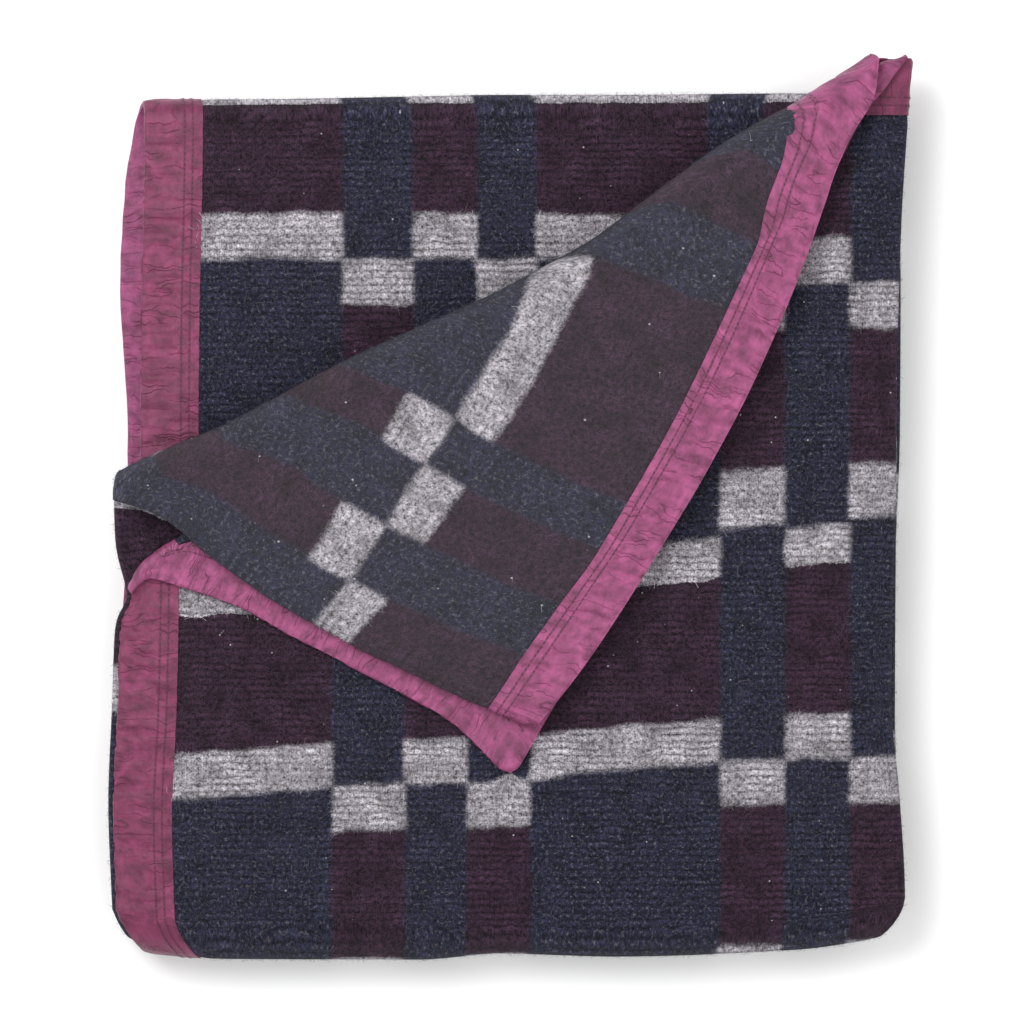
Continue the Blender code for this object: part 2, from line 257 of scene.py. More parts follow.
Shown = namedtuple("Shown", "place across")
SHOWN_ACROSS = (
    Shown(1060.0, 1056.5),
    Shown(1140.5, 1137.0),
    Shown(1178.0, 1180.0),
    Shown(1218.8, 1222.0),
    Shown(1250.0, 1265.0),
    Shown(1300.0, 1316.0),
    Shown(1390.0, 1405.0),
    Shown(1700.0, 1715.0),
)
Drawn = namedtuple("Drawn", "place along")
SHOWN_ALONG = (
    Drawn(-120.0, -134.0),
    Drawn(-51.0, -66.0),
    Drawn(0.0, -15.5),
    Drawn(14.2, 0.0),
    Drawn(35.8, 30.0),
    Drawn(60.0, 59.8),
    Drawn(110.0, 107.0),
    Drawn(165.0, 149.0),
    Drawn(194.0, 170.0),
    Drawn(203.0, 190.0),
    Drawn(212.0, 222.0),
    Drawn(240.0, 245.0),
    Drawn(600.0, 600.0),
)
TOP_WHITE_Y = 177.9
INNER_WHITE_Y = 196.4
LEFT_FOLD_CHECK = 1121.0
RIGHT_DROP = -2.0
FLAP_DROP = -33.0
BEND_LENGTH = math.pi * FOLD_R


def smooth_curve(rows, column):
    """Curve through a table's column that never passes beyond the values on either side."""
    places = [row[0] for row in rows]
    values = [getattr(row, column) for row in rows]
    slopes = [(b - a) / (q - p) for a, b, p, q in zip(values, values[1:], places, places[1:])]
    tangents = [slopes[0]]
    for before, after in zip(slopes, slopes[1:]):
        tangents.append(0 if before * after <= 0 else 2 * before * after / (before + after))
    tangents.append(slopes[-1])

    def value(at):
        at = min(max(at, places[0]), places[-1])
        i = min(max(bisect.bisect_right(places, at) - 1, 0), len(slopes) - 1)
        step = places[i + 1] - places[i]
        t = (at - places[i]) / step
        low = values[i] * (1 + 2 * t) * (1 - t) ** 2 + tangents[i] * step * t * (1 - t) ** 2
        high = values[i + 1] * t * t * (3 - 2 * t) + tangents[i + 1] * step * t * t * (t - 1)
        return low + high

    return value


outline_left_edge = smooth_curve(OUTLINES, "left_edge")
outline_right_fold = smooth_curve(OUTLINES, "right_fold")
outline_left_fold = smooth_curve(OUTLINES, "left_fold")
outline_right_edge = smooth_curve(OUTLINES, "right_edge")
reach_bottom = smooth_curve(REACHES, "bottom")
reach_top = smooth_curve(REACHES, "top")
bow_curves = {name: smooth_curve(BOWS, name) for name in Bow._fields[1:]}
bow_crease = bow_curves["crease"]
check_top = smooth_curve(CHECK_PLACES, "top")
check_inner = smooth_curve(CHECK_PLACES, "inner")
check_drop = smooth_curve(CHECK_PLACES, "drop")
check_sag = smooth_curve(CHECK_PLACES, "sag")
shown_across = smooth_curve(SHOWN_ACROSS, "across")
shown_along = smooth_curve(SHOWN_ALONG, "along")


def evenly(start, end, step):
    """Values from start to end, both included, about one step apart."""
    count = max(1, round(abs(end - start) / step))
    return [start + (end - start) * i / count for i in range(count + 1)]


# A station is a place on the line across the three layers of the Z fold: its layer (1 to 3, or
# 1.5 and 2.5 in the folds), its share of the way along that layer or fold, and how far it lies
# in from the cloth's side edge where that is less than the tape's width
Station = namedtuple("Station", "layer share inset")


def line_stations(band, steps):
    """Stations across the three layers, with a step length for each layer."""
    line = [Station(1, 0.0, inset) for inset in band[:-1]]
    line += [Station(1, x / 470, TAPE_WIDTH) for x in evenly(0, 470, steps[0])[:-1]]
    line += [Station(1.5, step / FOLD_STEPS, TAPE_WIDTH) for step in range(FOLD_STEPS)]
    line += [Station(2, x / 510, TAPE_WIDTH) for x in evenly(0, 510, steps[1])[:-1]]
    line += [Station(2.5, step / FOLD_STEPS, TAPE_WIDTH) for step in range(FOLD_STEPS)]
    line += [Station(3, x / 470, TAPE_WIDTH) for x in evenly(0, 470, steps[2])]
    line += [Station(3, 1.0, inset) for inset in band[-2::-1]]
    return line


def way_stations(band, steps):
    """Ways along the cloth, each with how far it lies in from the cloth's end edge."""
    panel_a = TOP_EDGE_RIGHT - reach_bottom(-60) - 4 * PITCH
    panel_c = reach_top(-60) - INNER_END
    rows = [(inset / panel_a, inset) for inset in band[:-1]]
    rows += [(way, TAPE_WIDTH) for way in evenly(TAPE_WIDTH / panel_a, 1, steps[0] / panel_a)[:-1]]
    rows += [(1 + step / LONG_FOLD_STEPS, TAPE_WIDTH) for step in range(LONG_FOLD_STEPS)]
    rows += [(way, TAPE_WIDTH) for way in evenly(2, 3, steps[1] / panel_c)[:-1]]
    rows += [(3 + step / LONG_FOLD_STEPS, TAPE_WIDTH) for step in range(LONG_FOLD_STEPS)]
    seen = 4 + 310 / panel_c
    rows += [(way, TAPE_WIDTH) for way in evenly(4, seen, steps[2] / panel_c)[:-1]]
    rows += [(way, TAPE_WIDTH) for way in evenly(seen, 5 - TAPE_WIDTH / panel_c, steps[1] / panel_c)]
    rows += [(5 - inset / panel_c, inset) for inset in band[-2::-1]]
    return rows


def across_pad(way, station):
    """Place on the middle line of the three layers: x, height, and the way the cloth faces."""
    layer, share, inset = station
    left_edge = outline_left_edge(way)
    right = outline_right_fold(way) - HALF_T - FOLD_R
    left = outline_left_fold(way) + HALF_T + FOLD_R
    right_edge = outline_right_edge(way)
    if layer == 1:
        start = left_edge + inset
        return start + (right - start) * share, 2 * PITCH, 0.0, 1.0
    if layer == 1.5:
        turn = math.pi * share
        height = 1.5 * PITCH + FOLD_R * math.cos(turn)
        return right + FOLD_R * math.sin(turn), height, math.sin(turn), math.cos(turn)
    if layer == 2:
        return right + (left - right) * share, PITCH, 0.0, -1.0
    if layer == 2.5:
        turn = math.pi * share
        height = 0.5 * PITCH + FOLD_R * math.cos(turn)
        return left - FOLD_R * math.sin(turn), height, math.sin(turn), -math.cos(turn)
    end = right_edge - inset
    return left + (end - left) * share, 0.0, 0.0, 1.0


def top_edge_at(x):
    """How far up the pad the top panel's edge lies at a place along it."""
    lean = (x - OUTLINES[0].left_edge) / (OUTLINES[0].right_fold - OUTLINES[0].left_edge)
    return TOP_EDGE_LEFT + (TOP_EDGE_RIGHT - TOP_EDGE_LEFT) * lean


def folded(way, x, height):
    """Place in the pad of a point at a way along the cloth and a height in the three layers."""
    lowest = reach_bottom(x) + 4 * PITCH + HALF_T
    highest = reach_top(x) - 2.5 * PITCH - HALF_T
    if way <= 1:
        top_edge = top_edge_at(x)
        return Vector((x, top_edge + (lowest - top_edge) * way, TOP_LEVEL + height))
    if way <= 2:
        turn = math.pi * (way - 1)
        reach = BOTTOM_FOLD_R + height
        z = 4 * PITCH + HALF_T + reach * math.cos(turn)
        return Vector((x, lowest - reach * math.sin(turn), z))
    if way <= 3:
        return Vector((x, lowest + (highest - lowest) * (way - 2), BOTTOM_LEVEL - height))
    if way <= 4:
        turn = math.pi * (way - 3)
        reach = FOLD_R + height
        z = 2.5 * PITCH + HALF_T - reach * math.cos(turn)
        return Vector((x, highest + reach * math.sin(turn), z))
    return Vector((x, highest + (INNER_END - highest) * (way - 4), INNER_LEVEL + height))


BOTTOM_TURN = 52.0
TOP_TURN = 76.0
TOP_STRETCH = 1.32
PANEL_B_CHECK = 594.0


def check_place(way, station, x, y):
    """Place in the woven check, in mm: along the width, along the length, and rib strength."""
    layer, share, _ = station
    plain = x + 242
    if way <= 1:
        first = check_top(x)
    elif way <= 2:
        first = check_top(x) * (2 - way) + plain * (way - 1)
    elif way <= 3:
        first = plain
    else:
        first = plain * max(4 - way, 0) + check_inner(x) * min(way - 3, 1)
    right_start = 492.0
    if layer == 1:
        across = first
    elif layer == 1.5:
        across = right_start + BEND_LENGTH * share
    elif layer == 2:
        across = right_start + BEND_LENGTH + (LEFT_FOLD_CHECK - right_start - 2 * BEND_LENGTH) * share
    elif layer == 2.5:
        across = LEFT_FOLD_CHECK - BEND_LENGTH * (1 - share)
    else:
        across = LEFT_FOLD_CHECK + x + 255.8
    if layer == 1:
        drop = check_drop(x) + check_sag(x) * math.exp(-((y - SAG_Y) / SAG_REACH) ** 2)
    elif layer in (1.5, 2):
        drop = RIGHT_DROP + (FLAP_DROP - RIGHT_DROP) * (share if layer == 2 else 0)
    else:
        drop = FLAP_DROP
    lowest = reach_bottom(x) + 4 * PITCH + HALF_T
    highest = reach_top(x) - 2.5 * PITCH - HALF_T
    if way <= 1:
        along = TOP_WHITE_Y - y - drop
        if layer in (2.5, 3):
            across = shown_across(across)
            along = shown_along(along)
    elif way <= 2:
        along = TOP_WHITE_Y - lowest - drop * (2 - way) + BOTTOM_TURN * (way - 1)
    elif way <= 3:
        along = TOP_WHITE_Y - lowest + BOTTOM_TURN + PANEL_B_CHECK * (way - 2)
    elif way <= 4:
        along = (INNER_WHITE_Y - highest) * TOP_STRETCH - TOP_TURN * (4 - way)
    else:
        along = INNER_WHITE_Y - y
        if along < 0:
            along *= TOP_STRETCH
    return Vector((across, along, 0.25 if layer == 3 else 1.0))


def weave_place(way, station, x, y):
    """Place on the flat cloth in real mm, from its upper left corner, and the panel's number."""
    layer, share, _ = station
    width = 520.0
    if layer == 1:
        across = x + 262
    elif layer == 2:
        across = width + BEND_LENGTH + width * share
    elif layer == 3:
        across = 2 * width + 2 * BEND_LENGTH + x + 256
    else:
        across = (layer - 0.5) * width + (layer - 1.5) * BEND_LENGTH + BEND_LENGTH * share
    panel = 560.0
    if way <= 1:
        along = 300 - y
    elif way <= 2:
        along = 575 + 36 * (way - 1)
    elif way <= 3:
        along = 611 + panel * (way - 2)
    elif way <= 4:
        along = 1171 + 20 * (way - 3)
    else:
        along = 1191 + 257 - y
    return Vector((across, along, 0))


def crease_frame(crease):
    """Start, run and outward direction of a crease, and the corner's distance from it."""
    start = Vector(crease.left)
    run = Vector(crease.right) - start
    outward = Vector((-run.y, run.x)).normalized()
    return start, run, outward, (Vector(crease.corner) - start).dot(outward)


def turned(point):
    """Carry a point of the top panel that lies past its crease over to the lower right."""
    crease = TOP_LAYER if point.z > LAYER_SPLIT else LOWER_LAYERS
    start, run, outward, depth = crease_frame(crease)
    to_corner = Vector(crease.corner) - start
    tip = Vector(crease.tip)
    flat = point.xy - start
    past = flat.dot(outward) / depth
    along = flat.cross(to_corner) / run.cross(to_corner)
    share = min(max(along / max(1 - past, 0.01), 0), 1)
    still = min(max((RIGHT_STILL - point.x) / STILL_FADE, 0), 1)
    bow = outward * (-crease.bow * bow_crease(share) * still)
    arc = math.pi * crease.turn_r
    if past <= 0:
        fade = max(0.0, 1 + past * depth / BOW_FADE)
        return Vector((*(point.xy + bow * fade), point.z))
    reach = CREASE_Z - point.z
    base = start + run * (along / (1 - past)) if past < 0.5 else start
    hem = top_edge_at(point.x) - point.y
    room = (crease.corner[1] - crease.left[1]) * (1 - past)
    to_fold = 1 - min(max((hem - TAPE_WIDTH) / max(room - TAPE_WIDTH, LEAST_ROOM), 0), 1)
    inside = min(max(hem / TAPE_WIDTH, 0), 1) * to_fold ** 2 * crease.bow
    if past * depth < arc:
        turn = past * depth / crease.turn_r
        nose = 1 + (NARROW_NOSE - 1) * share
        pull = Vector(crease.pull) * (max(0.0, 1 - share / PULLED_SHARE) ** 2 * reach / PULLED_REACH)
        flat = base + bow + (outward * (reach * nose) + pull) * math.sin(turn)
        flat += run.normalized() * (bow_curves["gather"](0) * inside * turn / math.pi)
        return Vector((*flat, CREASE_Z - reach * math.cos(turn)))
    down = (past * depth - arc) / (depth - arc)
    flat = start * (1 - down) + run * (along * depth / (depth - arc)) + tip * down
    side = tip - start
    side_out = Vector((side.y, -side.x)).normalized()
    top = tip - Vector(crease.right)
    top_out = Vector((-top.y, top.x)).normalized()
    drawn = (1 + TAPE_DRAW * min(max(hem / TAPE_WIDTH, 0), 1)) * to_fold
    flat += bow * (1 - min(down, 1)) ** 2
    flat += side_out * (bow_curves[crease.side](down) * (1 - share))
    flat += top_out * (bow_curves[crease.top](down) * drawn + bow_curves["squeeze"](down) * inside)
    flat += run.normalized() * (bow_curves["gather"](down) * inside)
    return Vector((*flat, CREASE_Z + reach))


# Soft troughs and ridges of the cloth as it lies, each from one end to the other, with its
# width and its height, all in mm
Ridge = namedtuple("Ridge", "start end width height")
RIDGES = (
    Ridge((-170, -180), (-60, -215), 22, -1.2),
    Ridge((40, -225), (150, -185), 24, 1.3),
    Ridge((190, 40), (215, -120), 26, -1.2),
    Ridge((-150, 120), (-60, 150), 30, 1.2),
    Ridge((20, 110), (80, 20), 26, 1.4),
)


def relief(x, y):
    """Height of the soft troughs and ridges at a place in plan."""
    height = 1.1 * noise.noise(Vector((x / 85, y / 70, 0.3)))
    height += 0.5 * noise.noise(Vector((x / 28, y / 34, 7.7)))
    here = Vector((x, y))
    for ridge in RIDGES:
        start = Vector(ridge.start)
        run = Vector(ridge.end) - start
        share = min(max((here - start).dot(run) / run.length_squared, 0), 1)
        away = (here - start - run * share).length / ridge.width
        if away < 3:
            height += ridge.height * math.exp(-away * away)
    return height


# Places where the turned corner's outline is rounded off
Rounding = namedtuple("Rounding", "place shift reach")
ROUNDINGS = (
    Rounding((-262.0, -50.0), (8.0, -7.0, 0.0), 17.0),
    Rounding((0.5, -179.0), (-0.5, 5.0, 0.0), 7.0),
    Rounding((244.5, 292.5), (0.0, 5.0, 0.0), 8.0),
)


def settled(point):
    """Place of a point once the corner is turned, the tape has lifted the pad and it has sagged."""
    if point.z > TOP_PANEL_FROM:
        point = turned(point)
        for rounding in ROUNDINGS:
            away = (point.xy - Vector(rounding.place)).length / rounding.reach
            point = point + Vector(rounding.shift) * math.exp(-away ** 2)
    raised = min(max((RAMP_END - point.x) / (RAMP_END - RAMP_START), 0), 1)
    share = min(max((point.z - 2 * PITCH) / (5 * PITCH), 0), 1)
    lift = TAPE_SPILL * raised + relief(point.x, point.y) * share
    return (point + Vector((-CENTRE_X, -CENTRE_Y, lift))) * MM


def cut_creases(bm):
    """Cut the top panel's faces along the lines where the turned corner bends."""
    for crease, top in ((TOP_LAYER, True), (LOWER_LAYERS, False)):
        start, run, outward, depth = crease_frame(crease)
        normal = Vector((*outward, 0))
        low = Vector((*(start - outward * 12), 0))
        near = []
        for face in bm.faces:
            middle = face.calc_center_median()
            away = (middle - low).dot(normal)
            if middle.z > TOP_PANEL_FROM and (middle.z > LAYER_SPLIT) == top and 0 < away < 66:
                near.append(face)
        for step in range(CREASE_STEPS + 1):
            distance = math.pi * crease.turn_r * step / CREASE_STEPS
            edges = {edge for face in near for edge in face.edges}
            verts = {vert for face in near for vert in face.verts}
            place = Vector((*(start + outward * distance), 0))
            geometry = list(verts) + list(edges) + near
            cut = bmesh.ops.bisect_plane(bm, geom=geometry, dist=0.01, plane_co=place, plane_no=normal)
            near = [item for item in cut["geom"] if isinstance(item, bmesh.types.BMFace)]


CLOTH_BAND = [0.0, 4.0, 8.0, 13.0, 18.0, 23.0, 28.0, 33.0, TAPE_WIDTH]
COARSE = 1.0
cloth_line = line_stations(CLOTH_BAND, (6 * COARSE, 24 * COARSE, 6.5 * COARSE))
cloth_ways = way_stations(CLOTH_BAND, (6 * COARSE, 24 * COARSE, 8 * COARSE))

bm = bmesh.new()
check_layer = bm.verts.layers.float_vector.new("check")
weave_layer = bm.verts.layers.float_vector.new("weave")
puff_layer = bm.verts.layers.deform.verify()
open_layer = bm.verts.layers.float.new("open")
grid = []
band_puff = (CLOTH_T - PINCHED_T) / (PUFF_T - PINCHED_T)
beside_ends = (len(CLOTH_BAND) - 1, len(cloth_ways) - len(CLOTH_BAND))
for i, (way, end_inset) in enumerate(cloth_ways):
    row = []
    for station in cloth_line:
        x, height, _, _ = across_pad(way, station)
        point = folded(way, x, height)
        vert = bm.verts.new(point)
        vert[check_layer] = check_place(way, station, x, point.y)
        vert[weave_layer] = weave_place(way, station, x, point.y)
        in_body = end_inset == TAPE_WIDTH and station.inset == TAPE_WIDTH
        beside_tape = i in beside_ends or station.share in (0.0, 1.0) and station.layer in (1, 3)
        if not in_body:
            pinched = way < 1 and end_inset < TAPE_WIDTH and x > PINCHED_FROM
            vert[puff_layer][0] = 0.0 if pinched else band_puff
        else:
            vert[puff_layer][0] = BESIDE_PUFF if beside_tape else 1.0
        vert[open_layer] = float(in_body)
        row.append(vert)
    grid.append(row)
for upper, lower in zip(grid, grid[1:]):
    for j in range(len(upper) - 1):
        bm.faces.new((upper[j], lower[j], lower[j + 1], upper[j + 1]))
cut_creases(bm)
for vert in bm.verts:
    vert.co = settled(vert.co)
bmesh.ops.triangulate(bm, faces=[face for face in bm.faces if len(face.verts) > 4])
for face in bm.faces:
    face.smooth = True
cloth_mesh = bpy.data.meshes.new("blanket_cloth")
bm.to_mesh(cloth_mesh)
bm.free()
cloth = bpy.data.objects.new("blanket_cloth", cloth_mesh)
bpy.context.collection.objects.link(cloth)
cloth.vertex_groups.new(name="puff")
swell = cloth.modifiers.new("thickness", "SOLIDIFY")
swell.thickness = PUFF_T * MM
swell.offset = 0
swell.vertex_group = "puff"
swell.thickness_vertex_group = PINCHED_T / PUFF_T
swell.use_rim = True


def finished(source, name, keep_groups=False):
    """Plain mesh object of a piece with its modifiers applied, in place of the piece."""
    graph = bpy.context.evaluated_depsgraph_get()
    mesh = bpy.data.meshes.new_from_object(source.evaluated_get(graph), depsgraph=graph)
    mesh.name = name
    bpy.data.objects.remove(source, do_unlink=True)
    made = bpy.data.objects.new(name, mesh)
    bpy.context.collection.objects.link(made)
    return made


cloth = finished(cloth, "blanket_cloth")

# Brushed wool and acrylic cloth: the raised fibres hide the weave, so blocks meet in a soft
# ragged line, the colours look heathered and dusty, and faint ribs and white lint show through
NAVY = "#202133"
MAROON = "#301f2e"
PALE = "#98939a"
LINT = "#d4d1d6"
RIB_SPACING = 4.7
# Share of lint colour mixed into the top of the turned flap as painted light
FLAP_LIGHT_SHARE = 0.03
THREAD_SPACING = 1.6


def brushed_wool(name, dust):
    """Wool material in the woven check. Dust lightens it, for the raised fibres."""
    material, tree = new_material(name)
    check = node(tree, "ShaderNodeAttribute", attribute_name="check").outputs["Vector"]
    weave = node(tree, "ShaderNodeAttribute", attribute_name="weave").outputs["Vector"]

    def noise_at(scale, detail, roughness=0.5, place=weave):
        return node(tree, "ShaderNodeTexNoise", {"Scale": scale, "Detail": detail, "Roughness": roughness},
                    {"Vector": place})

    def maths(operation, first, second=None, third=None):
        values = {i: v for i, v in enumerate((first, second, third)) if isinstance(v, (int, float))}
        links = {i: v for i, v in enumerate((first, second, third)) if v is not None and i not in values}
        return node(tree, "ShaderNodeMath", values, links, operation=operation).outputs[0]

    def shifted(place, texture, reach):
        """Place moved by a texture's colour, by up to half of the reach either way."""
        less = node(tree, "ShaderNodeVectorMath", {1: (0.5, 0.5, 0.5)}, {0: texture.outputs["Color"]},
                    operation="SUBTRACT")
        scaled = node(tree, "ShaderNodeVectorMath", {1: (reach, reach, 0)}, {0: less.outputs[0]},
                      operation="MULTIPLY")
        return node(tree, "ShaderNodeVectorMath", None, {0: place, 1: scaled.outputs[0]},
                    operation="ADD").outputs[0]

    broad = noise_at(0.06, 2)
    moved = shifted(shifted(check, noise_at(0.9, 3, 0.7), 5.0), broad, 6.0)
    moved = node(tree, "ShaderNodeVectorMath", {1: (20, 100, 0)}, {0: moved}, operation="ADD")
    parts = node(tree, "ShaderNodeSeparateXYZ", None, {0: moved.outputs[0]})
    across = maths("DIVIDE", maths("FLOORED_MODULO", parts.outputs["X"], CHECK_WIDTH), CHECK_WIDTH)
    along = maths("DIVIDE", maths("FLOORED_MODULO", parts.outputs["Y"], CHECK_LENGTH), CHECK_LENGTH)

    def blocks(socket, edges, start, length, first):
        """Ramp whose colour changes softly at each edge, given in mm from the check's start."""
        ramp = node(tree, "ShaderNodeValToRGB", None, {0: socket})
        stops = []
        colour = first
        for edge, following in edges:
            centre = (edge + start) / length
            stops += [(centre - 1.8 / length, colour), (centre + 1.8 / length, following)]
            colour = following
        elements = ramp.color_ramp.elements
        elements[0].position = stops[0][0]
        elements[0].color = linear(stops[0][1])
        elements[1].position = stops[-1][0]
        elements[1].color = linear(stops[-1][1])
        for position, code in stops[1:-1]:
            elements.new(position).color = linear(code)
        return ramp.outputs["Color"]

    narrow = blocks(across, [(0, "#000000"), (125, "#ffffff"), (168, "#000000"), (210, "#ffffff")],
                    20, CHECK_WIDTH, "#ffffff")
    wide_rows = blocks(along, [(0, PALE), (30, NAVY), (188, PALE)],
                       100, CHECK_LENGTH, MAROON)
    narrow_rows = blocks(along, [(30, PALE), (60, MAROON), (149, PALE), (184, NAVY)],
                         100, CHECK_LENGTH, NAVY)
    colour = node(tree, "ShaderNodeMix", None, {0: narrow, 6: wide_rows, 7: narrow_rows}, data_type="RGBA")

    # Heathering: fine hairs and tufts, dark gaps between the ribs, soft clouds of wear, and in
    # the navy more pale flecks
    hairs = noise_at(0.85, 5, 0.75)
    tufts = noise_at(0.36, 4, 0.7)
    clouds = noise_at(0.06, 4, 0.6)
    at = node(tree, "ShaderNodeSeparateXYZ", None, {0: shifted(weave, noise_at(0.3, 3), 2.6)})
    sway = maths("MULTIPLY_ADD", broad.outputs["Fac"], 5.0, at.outputs["Y"])
    rib = maths("ABSOLUTE", maths("SINE", maths("MULTIPLY", sway, math.pi / RIB_SPACING)))
    rib = maths("SUBTRACT", maths("POWER", rib, 0.7), 0.72)
    thread = maths("SINE", maths("MULTIPLY", at.outputs["X"], 2 * math.pi / THREAD_SPACING))
    depth = node(tree, "ShaderNodeSeparateXYZ", None, {0: check}).outputs["Z"]
    worn_and_lit = node(tree, "ShaderNodeMapRange", {1: 0.42, 2: 0.6, 3: 0.35, 4: 1.0},
                {0: noise_at(0.03, 3).outputs["Fac"]}).outputs[0]
    rib = maths("MULTIPLY", maths("MULTIPLY", rib, depth), worn_and_lit)
    thread = maths("MULTIPLY", thread, depth)
    tone = maths("MULTIPLY_ADD", hairs.outputs["Fac"], 4.6, -1.3)
    tone = maths("MULTIPLY_ADD", tufts.outputs["Fac"], 4.6, maths("SUBTRACT", tone, 2.3))
    tone = maths("MAXIMUM", tone, 0.12)
    tone = maths("MULTIPLY", tone, maths("MULTIPLY_ADD", clouds.outputs["Fac"], 2.2, -0.12))
    tone = maths("MULTIPLY", tone, maths("MULTIPLY_ADD", rib, 0.9, 1.0))
    tone = maths("MULTIPLY", tone, maths("MULTIPLY_ADD", thread, 0.08, 1.0))
    toned = node(tree, "ShaderNodeVectorMath", None, {0: colour.outputs[2], "Scale": tone}, operation="SCALE")
    split = node(tree, "ShaderNodeSeparateColor", None, {0: colour.outputs[2]})
    bluish = maths("MULTIPLY_ADD", maths("SUBTRACT", split.outputs[2], split.outputs[0]), 19.0, 0.05)
    fleck = node(tree, "ShaderNodeMapRange", {1: 0.53, 2: 0.68, 3: 0.0, 4: 1.0},
                 {0: noise_at(0.42, 5, 0.8).outputs["Fac"]})
    fleck = maths("MULTIPLY", fleck.outputs[0], maths("MULTIPLY", bluish, maths("MULTIPLY_ADD", rib, 1.3, 1.0)))
    toned = node(tree, "ShaderNodeMix", {7: linear(PALE)}, {0: fleck, 6: toned.outputs[0]}, data_type="RGBA")
    lint = node(tree, "ShaderNodeTexVoronoi", {"Scale": 0.07}, {"Vector": weave})
    speck = node(tree, "ShaderNodeMapRange", {1: 0.05, 2: 0.03, 3: 0.0, 4: 0.6}, {0: lint.outputs["Distance"]})
    flecked = node(tree, "ShaderNodeMix", {7: linear(LINT)}, {0: speck.outputs[0], 6: toned.outputs[2]},
                   data_type="RGBA")
    # Painted light: the turned flap, highest in the pad, is mixed a little towards the lint colour, on top of any
    # dust
    face = node(tree, "ShaderNodeAttribute", attribute_name="worn_and_lit").outputs["Fac"]
    dust_and_light = maths("MULTIPLY_ADD", face, FLAP_LIGHT_SHARE, dust)
    dusted_and_lit = node(tree, "ShaderNodeMix", {7: linear(LINT)}, {0: dust_and_light, 6: flecked.outputs[2]}, data_type="RGBA")
    height = maths("MULTIPLY_ADD", rib, 0.3, maths("MULTIPLY_ADD", thread, 0.06, hairs.outputs["Fac"]))
    bump = node(tree, "ShaderNodeBump", {"Strength": 1.0, "Distance": 1.4 * MM}, {"Height": height})
    wool = node(tree, "ShaderNodeBsdfPrincipled",
                {"Roughness": 0.95, "Sheen Weight": 0.05, "Sheen Roughness": 0.6, "Specular IOR Level": 0.08},
                {"Base Color": dusted_and_lit.outputs[2], "Normal": bump.outputs[0]})
    node(tree, "ShaderNodeOutputMaterial", None, {"Surface": wool.outputs[0]})
    return material


cloth.data.materials.append(brushed_wool("brushed_wool", 0.0))

# Raised pile. Loose ends of the wool and acrylic, brushed up from both faces: short bent hairs in
# the cloth's own colours, which blur its outline. Only what shows from above has them.
FLAP_PLAN = ((-262.0, 3.0), (237.0, 298.0), (16.5, -143.5))
SEEN_FROM = 28.0
FLAP_FROM = 55.0
TOP_FROM = 41.0
# Height from which the turned flap's wool is painted lighter
LIT_FROM = 53.0


def left_of(start, end, place):
    """True if a place in plan lies to the left of the line from start to end."""
    return (end[0] - start[0]) * (place.y - start[1]) > (end[1] - start[1]) * (place.x - start[0])


def pile_share(place, normal):
    """How much pile shows at a place of the cloth's surface, from 0 to 1."""
    if normal.z < -0.3 or place.z < SEEN_FROM and normal.z > 0.5:
        return 0.0
    if place.z > FLAP_FROM:
        return 1.0
    above = left_of(FLAP_PLAN[0], FLAP_PLAN[1], place)
    under = not above and left_of(FLAP_PLAN[2], FLAP_PLAN[0], place) != left_of(FLAP_PLAN[2], FLAP_PLAN[1], place)
    if normal.z > 0.5 and place.z < TOP_FROM and not above:
        return 0.0
    return 0.0 if under and normal.z > 0.5 else 1.0


shown = cloth.data.attributes.new("pile", "FLOAT", "POINT")
# Share of painted light on the wool, rising with height so the top of the turned flap is lighter
worn_and_lit = cloth.data.attributes.new("worn_and_lit", "FLOAT", "POINT")
uncovered = cloth.data.attributes["open"]
for vert in cloth.data.vertices:
    place = vert.co / MM + Vector((CENTRE_X, CENTRE_Y, 0))
    shown.data[vert.index].value = pile_share(place, vert.normal) * (uncovered.data[vert.index].value > 0.9)
    worn_and_lit.data[vert.index].value = min(max((place.z - LIT_FROM) / PITCH, 0), 1)

hair_wool = brushed_wool("brushed_wool_hair", 0.05)


def tree_with_inputs(name, sizes):
    """Geometry node tree with a mesh input, one named number input for each size, and an output."""
    tree = bpy.data.node_groups.new(name, "GeometryNodeTree")
    tree.interface.new_socket("Geometry", in_out="INPUT", socket_type="NodeSocketGeometry")
    for size in sizes:
        tree.interface.new_socket(size, in_out="INPUT", socket_type="NodeSocketFloat")
    tree.interface.new_socket("Geometry", in_out="OUTPUT", socket_type="NodeSocketGeometry")
    inputs = node(tree, "NodeGroupInput")
    return tree, inputs.outputs


def grown(source, tree, sizes, name):
    """Plain mesh piece that a node tree makes from a source object."""
    grower = source.modifiers.new("grow", "NODES")
    grower.node_group = tree
    for item in tree.interface.items_tree:
        if item.in_out == "INPUT" and item.name in sizes:
            grower[item.identifier] = sizes[item.name]
    graph = bpy.context.evaluated_depsgraph_get()
    mesh = bpy.data.meshes.new_from_object(source.evaluated_get(graph), depsgraph=graph)
    source.modifiers.remove(grower)
    mesh.name = name
    made = bpy.data.objects.new(name, mesh)
    bpy.context.collection.objects.link(made)
    return made


